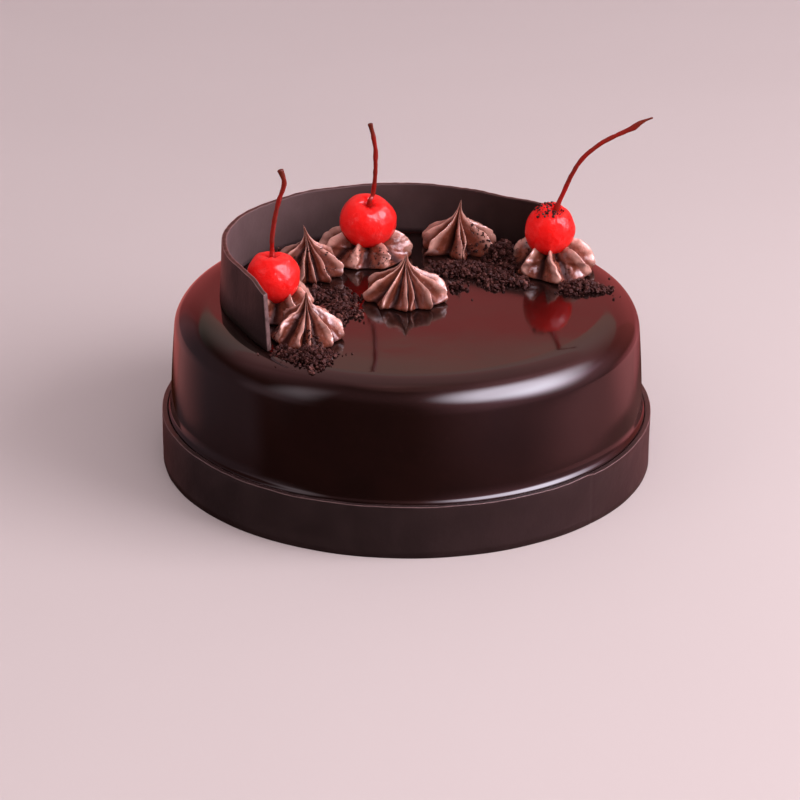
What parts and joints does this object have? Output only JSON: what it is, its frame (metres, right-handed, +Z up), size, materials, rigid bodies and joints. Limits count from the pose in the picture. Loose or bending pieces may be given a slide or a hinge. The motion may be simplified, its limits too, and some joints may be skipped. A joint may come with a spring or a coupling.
{
  "type": "black forest cake",
  "caption": "Round mirror-glazed chocolate cake in a low chocolate band, topped with piped kisses, stemmed cherries, crumbs and a curved chocolate collar.",
  "frame": {"origin": "centre of the cake's underside, on the surface it stands on", "axes": "+Z up along the cake's axis; -Y towards the side with the open front of the top; +X to the right seen from there"},
  "size_m": [0.184, 0.184, 0.1257],
  "materials": {
    "glaze": "mirror glaze, near-black chocolate brown, wet gloss",
    "dark_chocolate": "dark chocolate, satin, with slightly paler broken edges",
    "piped_cream": "piped chocolate ganache, soft sheen",
    "cherry": "candied red cherry skin, glossy and slightly translucent",
    "stem": "dark red stem, browner at its cut end",
    "crumb": "dry dark chocolate cake crumbs"
  },
  "bodies": {
    "root": {"cake": "glaze", "base_band": "dark_chocolate", "collar": "dark_chocolate", "kiss_front_left": "piped_cream", "kiss_back_left": "piped_cream", "kiss_front_centre": "piped_cream", "kiss_back_centre": "piped_cream", "rosette_left": "piped_cream", "rosette_centre": "piped_cream", "rosette_right": "piped_cream", "cherry_left": "cherry", "cherry_centre": "cherry", "cherry_right": "cherry", "stem_left": "stem", "stem_centre": "stem", "stem_right": "stem"}
  },
  "joints": []
}
